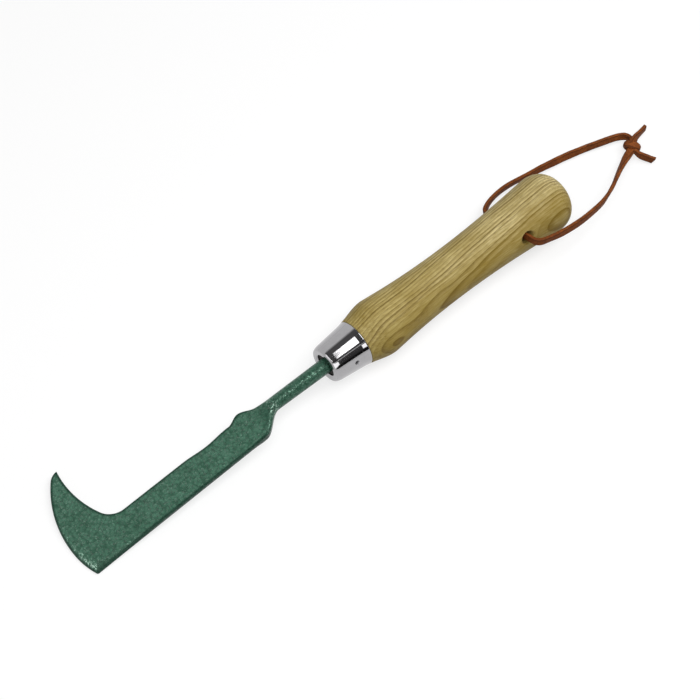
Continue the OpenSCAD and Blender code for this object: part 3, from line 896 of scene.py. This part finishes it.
def blade_top(x, y):
    """Height of the flat blade's upper face, and how far each point is down the outer and straight bevel.

    The face is level, with a sloping plane off the straight edge and a cone off the outer edge.
    """
    drop = BLADE_T - EDGE_T
    plane = BLADE_T / 2 - drop + drop * (y - EDGE_Y) / BEVEL_W + drop * (CORNER_X - x) / EDGE_BEVEL_LEN
    shift = BEVEL_W * OUTER_R / OUTER_BEVEL_LEN
    start = OUTER_R - BEVEL_W - shift * (EDGE_Y - FRONT_Y) / OUTER_R
    cone = BLADE_T / 2 - (np.hypot(x - OUTER_C[0], y - FRONT_Y - shift) - start) * drop / BEVEL_W
    outer = ease((BLADE_T / 2 - cone) / drop * BEVEL_MASK) * (cone < plane)
    straight = ease((BLADE_T / 2 - plane) / drop * BEVEL_MASK) * (plane <= cone)
    return np.minimum(BLADE_T / 2, np.minimum(plane, cone)), outer, straight


BEVEL_MASK = 1.6


def shoulder_edges(u):
    """The shoulder's back and front outlines: an eased flare, with a swell besides at the back."""
    near = NECK_FRONT_R + (-EDGE_Y - NECK_FRONT_R) * ease((u - FLARE_START) / FLARE_RUN)
    reach = np.where(u < SWELL_AT, SWELL_REAR, SWELL_FRONT)
    far = (NECK_FRONT_R + (bar_back(SHOULDER_LEN) - NECK_FRONT_R) * ease(u)
           + SHOULDER_SWELL * hump((u - SWELL_AT) / reach))
    return np.stack([u * SHOULDER_LEN, far], -1), np.stack([u * SHOULDER_LEN, -near], -1)


def both_rows(upper, lower):
    """Rings made of an upper row across and a lower row back."""
    return np.concatenate([upper, lower[:, ::-1]], 1)


def rear_rings(c, s):
    """Rings of the tang and the neck: circles about X, given the cosine and sine of their points."""
    neck_x = np.linspace(FERRULE_WALL, -NECK_LEN + NECK_STOP, NECK_ROWS)
    neck_r = np.interp(neck_x, [-NECK_LEN, FERRULE_WALL], [NECK_FRONT_R, NECK_REAR_R])
    x = np.concatenate([[TANG_LEN, TANG_LEN - TANG_POINT_LEN, FERRULE_WALL + TANG_STEP], neck_x])[:, None]
    r = np.concatenate([[TANG_TIP_R, TANG_R, TANG_R], neck_r])[:, None]
    top = np.stack([x + 0 * c, r * c, r * s], -1)
    return both_rows(top, top * [1, 1, -1])


def blade_rings():
    """Rings from the tang's end to the blade's tip, and the paint's masks at their points.

    On the shoulder a ring is a superellipse that squares up. On the blade its faces are rounded down to
    its walls by the distance from the outline.
    """
    phi = math.pi * (np.arange(ACROSS) + 0.5) / ACROSS
    c, s = np.cos(phi), np.sin(phi)
    rear = rear_rings(c, s)
    u = np.linspace(SHOULDER_FIRST, 1, SHOULDER_ROWS)[:-1]
    back, front = (np.concatenate(parts) for parts in zip(shoulder_edges(u), blade_edges()))
    u = np.concatenate([u, np.ones(len(back) - len(u))])[:, None]
    xy = (back + front)[:, None] / 2 + (c / c[0])[:, None] * (back - front)[:, None] / 2
    thick = NECK_FRONT_R + (BLADE_T / 2 - NECK_FRONT_R) * ease(u)
    power = 2 / (1 - SQUARING * ease(u / SQUARE_BY))
    soft = thick * np.maximum(1 - np.abs(c)[None] ** power, 0) ** (1 / power)
    d = distance_to(xy.reshape(-1, 2), np.concatenate([back, front[::-1]])).reshape(xy.shape[:2])
    top, outer, straight = blade_top(xy[..., 0], xy[..., 1])
    edge = np.minimum(PAINT_ROUND, EDGE_SHARE * (top + BLADE_T / 2))
    fall = edge - np.sqrt(np.maximum(edge**2 - np.maximum(edge - d, 0) ** 2, 0))
    flat = ease((u - FLAT_FROM) / FLAT_RUN)
    upper = soft * (1 - flat) + (top - fall) * flat
    lower = -soft * (1 - flat) + (fall - BLADE_T / 2) * flat
    rings = both_rows(*(np.concatenate([xy, z[..., None]], -1) for z in (upper, lower)))
    # Painted shade: a mask that darkens the paint along the outline's rounded edge, and evenly over the neck
    shade = ease((u - SHADE_FROM) / SHADE_RUN)
    rim_shade = (1 - ease((d - RIM_SHADE_FROM) / RIM_SHADE_WIDTH)) * shade + NECK_SHADE * (1 - shade)
    masks = {"rim_shade": (NECK_SHADE, rim_shade), "outer_bevel": (0, outer), "edge_bevel": (0, straight * flat)}
    for name, (on_neck, mask) in masks.items():
        masks[name] = np.concatenate([np.full(rear.shape[:2], on_neck), both_rows(mask, mask)])
    return np.concatenate([rear, at_root(rings)]), masks


ACROSS = 56
NECK_ROWS = 34
NECK_STOP = 1
TANG_STEP = 0.01
SHOULDER_ROWS = 70
# As shares of the shoulder's length
SHOULDER_FIRST = 0.04
SQUARE_BY = 0.8
FLAT_FROM = 0.68
FLAT_RUN = 0.32
SHADE_FROM = 0.3
SHADE_RUN = 0.3
# Most of a wall's height that its rounding takes, then where the dark painted shade along the outline ends
# and how far it fades, and how dark the neck's painted shade is
EDGE_SHARE = 0.42
RIM_SHADE_FROM = 0.7
RIM_SHADE_WIDTH = 1.0
NECK_SHADE = 0.48


def make_blade(paint):
    """Tang, neck, shoulder and hooked blade in one skin, with masks for the paint."""
    rings, masks = blade_rings()
    piece = skin("painted_blade", laid(rings), **masks)
    crease(piece, 50)
    return dressed(piece, paint, "knife", "blade")


def dressed(piece, material, body, node):
    """Gives a piece its material and body, and hides the CAD node that it stands for."""
    piece.data.materials.clear()
    piece.data.materials.append(material)
    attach(piece, body)
    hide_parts(node)
    return piece


def packed_near(values, centre, reach, step):
    """The values, with finer steps within reach of a centre."""
    values = [v for v in values if abs(v - centre) > reach]
    return np.array(sorted(values + list(np.arange(centre - reach, centre + reach + step / 2, step))))


def ferrule_outside():
    """The ferrule's outer profile: mouth, lip rolled as part of an ellipse, cone, flared band and edge."""
    steps = np.radians(np.linspace(180, ROLL_END_A, 24))
    lip = np.stack([ROLL_LEN * (1 + np.cos(steps)),
                    FERRULE_FRONT_R + LIP_PROUD + ROLL_DEEP * (np.sin(steps) - 1)], -1)
    mouth = arc([MOUTH_ROUND, MOUTH_R + MOUTH_ROUND], MOUTH_ROUND, 270, 180, 8)
    cone_x = packed_near(np.linspace(lip[-1][0], BAND_X, 20)[1:-1], PIN_X, RECESS_REACH, RECESS_STEP)
    cone = np.stack([cone_x, np.interp(cone_x, [lip[-1][0], BAND_X], [lip[-1][1], BAND_R])], -1)
    flare = (FERRULE_REAR_R - BAND_R) / (FERRULE_LEN - BAND_X)
    start = np.array([BAND_X, BAND_R])
    corner = bend(start - [BAND_SOFT, BAND_DIP], start, start, start + [BAND_SOFT, BAND_SOFT * flare], 6)
    band_x = np.arange(BAND_X + BAND_SOFT + BAND_STEP, FERRULE_LEN - REAR_ROUND - BAND_STOP, BAND_STEP)
    band = np.stack([band_x, BAND_R + flare * (band_x - BAND_X)], -1)
    rear = arc([FERRULE_LEN - REAR_ROUND, FERRULE_REAR_R - REAR_ROUND], REAR_ROUND, 80, 0, 7)
    return np.concatenate([mouth, lip, cone, corner, band, rear])


def ferrule_inside():
    """The ferrule's inner profile, a wall's thickness within the outer one."""
    front, wall = FERRULE_FRONT_R, FERRULE_WALL
    return np.array([[FERRULE_LEN, FERRULE_REAR_R - wall], [BAND_X, BAND_R - wall],
                     [wall + LIP_R, front - wall], [wall, front - wall - LIP_R],
                     [wall, MOUTH_R + MOUTH_STEP]])


def make_ferrule(chrome):
    """The ferrule's closed profile turned about X, with its columns closer together at the pin's ends.

    Over each end of the pin a round recess is pressed in: flat in the middle, with an eased side.
    """
    outside = ferrule_outside()
    s = full_turn(288)
    turns = s - TURNS_PACKED * np.sin(2 * (s - (math.pi - PIN_TILT)))
    rings = lathe(np.concatenate([outside, ferrule_inside()]), turns)
    pin = tilted(PIN_TILT)
    rel = rings - [PIN_X, 0, 0]
    depth = rel @ pin
    off = np.linalg.norm(rel - depth[..., None] * pin, axis=-1)
    press = RECESS * (1 - ease((off - RECESS_R) / RECESS_SIDE))
    press[len(outside):] = 0
    rings = rings - (np.sign(depth) * press)[..., None] * pin
    piece = skin("chromed_ferrule", laid(rings), looped=True)
    crease(piece, 40)
    return dressed(piece, chrome, "knife", "ferrule")


LIP_PROUD = 0.32
ROLL_LEN = 5.4
ROLL_DEEP = 1.8
ROLL_END_A = 107
MOUTH_ROUND = 0.9
MOUTH_STEP = 0.2
BAND_SOFT = 0.5
BAND_DIP = 0.05
BAND_STEP = 0.3
BAND_STOP = 0.1
REAR_ROUND = 0.45
TURNS_PACKED = 0.36
RECESS = 0.95
RECESS_R = 0.88
RECESS_SIDE = 0.42
RECESS_REACH = 1.9
RECESS_STEP = 0.1


def make_pin(steel):
    """The cross pin: a rod with domed ends just below the ferrule's surface."""
    end = np.interp(PIN_X, [LIP_R, BAND_X], [FERRULE_FRONT_R, BAND_R]) - PIN_SUNK
    rod_r = PIN_R - PIN_SLACK
    dome = arc([0, 0], rod_r, 90, 0, 9) * [DOME_FLAT, 1] + [end - DOME_LEN, 0]
    half = np.concatenate([[[0, rod_r]], dome])
    profile = np.concatenate([(half * [-1, 1])[:0:-1], half])
    piece = skin("cross_pin", laid(across_grip(lathe(profile, full_turn(40)), PIN_X, PIN_TILT)))
    crease(piece, 40)
    return dressed(piece, steel, "knife", "ferrule_pin")


PIN_SUNK = 0.6
PIN_SLACK = 0.05
DOME_FLAT = 0.35
DOME_LEN = 0.4


def grip_profile():
    """The grip's half outline: the tang's hole, the nose inside the ferrule, then bulge, waist and bulge.

    The turned outline is four cubic curves, from the ferrule to the middle of the butt.
    """
    inside = FERRULE_WALL + GAP
    seat = np.array([FERRULE_LEN + GAP, FERRULE_REAR_R])
    front, waist, rear = (np.array(p, float) for p in (FRONT_BULGE, WAIST, REAR_BULGE))
    butt = np.array([GRIP_END, 0])
    rise = front - seat
    bore = TANG_R + GAP
    hole = np.array([[TANG_LEN + GAP, 0], [TANG_LEN + GAP, TANG_TIP_R + GAP],
                     [TANG_LEN - TANG_POINT_LEN, bore], [inside, bore],
                     [inside, FERRULE_FRONT_R - inside - LIP_R],
                     [inside + LIP_R, FERRULE_FRONT_R - inside], [BAND_X, BAND_R - inside],
                     [seat[0], FERRULE_REAR_R - inside], seat - [0, SEAT_ROUND],
                     seat + [SEAT_ROUND, SEAT_STEP]])
    first = bend(seat, seat + SEAT_PULL * rise, front - [FRONT_PULL * rise[0], 0], front, 30)
    return np.concatenate([
        hole, first[first[:, 0] > seat[0] + 2 * SEAT_ROUND],
        bend(front, front + [AFTER_FRONT, 0], waist - [BEFORE_WAIST, 0], waist, 60),
        bend(waist, waist + [AFTER_WAIST, 0], rear - [BEFORE_REAR, 0], rear, 70),
        bend(rear, rear + [AFTER_REAR, 0], butt + [0, BUTT_ROUND], butt, 40)])


# The curves' handles, the first two as shares of the rise from the ferrule
SEAT_ROUND = 0.3
SEAT_STEP = 0.05
SEAT_PULL = 0.4
FRONT_PULL = 0.35
AFTER_FRONT = 3
BEFORE_WAIST = 29
AFTER_WAIST = 34
BEFORE_REAR = 4
AFTER_REAR = 1
BUTT_ROUND = 19.1


def make_grip(ash):
    """The turned grip, cut through by a drill that widens to both mouths as a parabola does."""
    piece = skin("ash_grip", laid(lathe(grip_profile(), full_turn(160))))
    s = np.linspace(-DRILL_HALF, DRILL_HALF, 97)
    q = np.maximum(np.abs(s) - (HOLE_R_OUT - MOUTH_SOFT), 0)
    drill = lathe(np.stack([s, HOLE_R + q**2 / (2 * MOUTH_SOFT * MOUTH_SHARP)], -1), full_turn(64))
    cut(piece, skin("drill", laid(across_grip(drill, HOLE_X, HOLE_TILT))))
    piece.data.shade_smooth()
    crease(piece, 35)
    return dressed(piece, ash, "knife", "handle")


DRILL_HALF = 24
MOUTH_SOFT = 1.7
MOUTH_SHARP = 0.8


def lace_frames(line):
    """Directions at each point of a twisted route: along it, across its width, through its thickness."""
    t = along(line[:, :3])
    stand = np.array([0, math.sin(HOLE_TILT), math.cos(HOLE_TILT)])
    w0 = stand - (t @ stand)[:, None] * t
    w0 = w0 / np.linalg.norm(w0, axis=1, keepdims=True)
    a = np.radians(line[:, 3])[:, None]
    w = np.cos(a) * w0 + np.sin(a) * np.cross(t, w0)
    return t, w, np.cross(t, w)


def lace_section(points):
    """The lace's outline, from -1 to 1 both ways, and how near each of its points is to a corner.

    It is a rectangle with rounded corners: a circle's cosine and sine, each raised to the same power.
    """
    a = full_turn(points) + math.pi / points
    c, s = np.cos(a), np.sin(a)
    across = np.sign(c) * np.abs(c) ** LACE_POWER
    through = np.sign(s) * np.abs(s) ** LACE_POWER
    least = np.minimum(np.abs(across), np.abs(through))
    return across[None, :, None], through[None, :, None], ease((least - CORNER_FROM) / CORNER_RUN)


def lace_rings(line, slant=0.0):
    """The lace's section carried along its route, a little uneven in width by two sine waves.

    slant pushes one side of the last rings on, for a cut at an angle.
    """
    t, w, v = lace_frames(line)
    across, through, _ = lace_section(LACE_POINTS)
    run = length_along(line[:, :3])
    (slow, slow_rate), (fast, fast_rate) = WOBBLES
    wobble = 1 + slow * np.sin(run * slow_rate + line[0, 0]) + fast * np.sin(run * fast_rate + line[0, 1])
    half_w, half_t = LACE_W / 2 * wobble[:, None, None], LACE_T / 2 * (2 - wobble)[:, None, None]
    rings = line[:, None, :3] + half_w * across * w[:, None] + half_t * through * v[:, None]
    push = ease((run - (run[-1] - CUT_RUN)) / CUT_RUN)[:, None, None]
    return rings + push * slant * across * t[:, None]


def lace_piece(name, rings, cut_last=False, looped=False):
    """A lace's mesh with its UV map, a mask of its corners and a mask of its cut end."""
    n, m = rings.shape[:2]
    faces = ring_faces(n, m, looped)
    mesh = new_mesh(name, laid(rings).reshape(-1, 3), faces, {"edge": np.tile(lace_section(m)[2], n)})
    at_cut = np.zeros(len(faces), np.float32)
    at_cut[-1] = cut_last
    mesh.attributes.new("cut", "FLOAT", "FACE").data.foreach_set("value", at_cut)
    ids = np.empty(len(mesh.loops), np.int32)
    mesh.loops.foreach_get("vertex_index", ids)
    uv = np.stack([(ids // m) * LACE_STEP / 1000, (ids % m) / m * 2 * (LACE_W + LACE_T) / 1000], -1)
    mesh.uv_layers.new(name="lace").data.foreach_set("uv", uv.astype(np.float32).ravel())
    piece = finished(mesh)
    crease(piece, 60)
    return piece


LACE_POINTS = 28
LACE_POWER = 0.42
LACE_STEP = 0.8
CORNER_FROM = 0.6
CORNER_RUN = 0.22
CUT_RUN = 6
# The waves' heights, and their angles in radians for each millimetre
WOBBLES = ((0.035, 0.61), (0.025, 1.73))


def through_hole(side):
    """The route's first stretch, straight along the hole from its middle to past its mouth."""
    d = tilted(HOLE_TILT) * side
    return [[LACE_ASIDE, *(s * d)[1:], 0] for s in (0, HOLE_R_OUT / 2, HOLE_R_OUT, HOLE_R_OUT + PAST_MOUTH)]


LACE_ASIDE = 0.5
PAST_MOUTH = 1.5


def routed(points):
    """A route given from the hole's middle, smoothed, in the tool frame."""
    line = smooth_route(points, LACE_STEP)
    line[:, 0] += HOLE_X
    return line


def make_leg(name, side, route, leather, node):
    """One leg of the thong, from the middle of the hole to inside the knot, and the line that it follows."""
    line = routed(through_hole(side) + route)
    leg = dressed(lace_piece(name, lace_rings(line)), leather, "thong", node)
    return leg, laid(line[:, :3])


def knot_rings():
    """The knot's wrap: a flat band carried once round an ellipse that stands across the long tail.

    The ellipse leans a little, and the band is widest at its top and bottom, with its edges drawn in.
    """
    a = full_turn(72)
    ahead, up = np.array(WRAP_AHEAD), np.array([0, 0, 1])
    axis = np.cross(up, ahead)
    c, s = np.cos(a)[:, None], np.sin(a)[:, None]
    path = (KNOT_AT + [HOLE_X, 0, 0] + WRAP_HALF[0] * c * ahead + WRAP_HALF[1] * s * up
            - WRAP_LEAN * s * axis)
    out = c * ahead / WRAP_HALF[0] + s * up / WRAP_HALF[1]
    out = out / np.linalg.norm(out, axis=1, keepdims=True)
    across, through, _ = lace_section(LACE_POINTS)
    width = WRAP_W / 2 * (1 - WRAP_SWELL * np.cos(2 * a))[:, None, None]
    height = WRAP_THICK * LACE_T * through - WRAP_DROOP * across**2
    return path[:, None] + width * across * axis + height * out[:, None]


WRAP_AHEAD = (0.5, -0.866, 0)
WRAP_HALF = (4.0, 3.0)
WRAP_W = 4.4
WRAP_LEAN = 0.7
WRAP_SWELL = 0.12
WRAP_THICK = 0.45
WRAP_DROOP = 0.35


def make_thong(leather):
    """Both legs, the knot's wrap and the two tails with their slanted cut ends."""
    knot = lace_piece("knot_wrap", knot_rings(), looped=True)
    dressed(knot, leather, "thong", "thong_knot")
    tails = []
    for name, route, slant, node in TAILS:
        piece = lace_piece(name, lace_rings(routed(route), slant), cut_last=True)
        tails.append(dressed(piece, leather, "thong", node))
    for name, side, route, node, on_it in (("near_leg", 1, NEAR_ROUTE, "thong_near_leg", [knot, *tails]),
                                           ("far_leg", -1, FAR_ROUTE, "thong_far_leg", [knot])):
        leg, path = make_leg(name, side, route, leather, node)


# Name, route, how far either side of the cut end is pushed along it, and the node
TAILS = [("long_tail", LONG_TAIL, -0.3, "thong_tail_long"),
         ("short_tail", SHORT_TAIL, 0.8, "thong_tail_short")]


def main():
    make_camera()
    mottle, fibre = mottle_group(), fibre_group()
    make_thong(leather_material(mottle))
    make_stage()
    make_blade(paint_material(mottle))
    make_ferrule(chrome_material(mottle, fibre))
    make_pin(steel_material(mottle))
    make_grip(ash_material(mottle, fibre))


main()
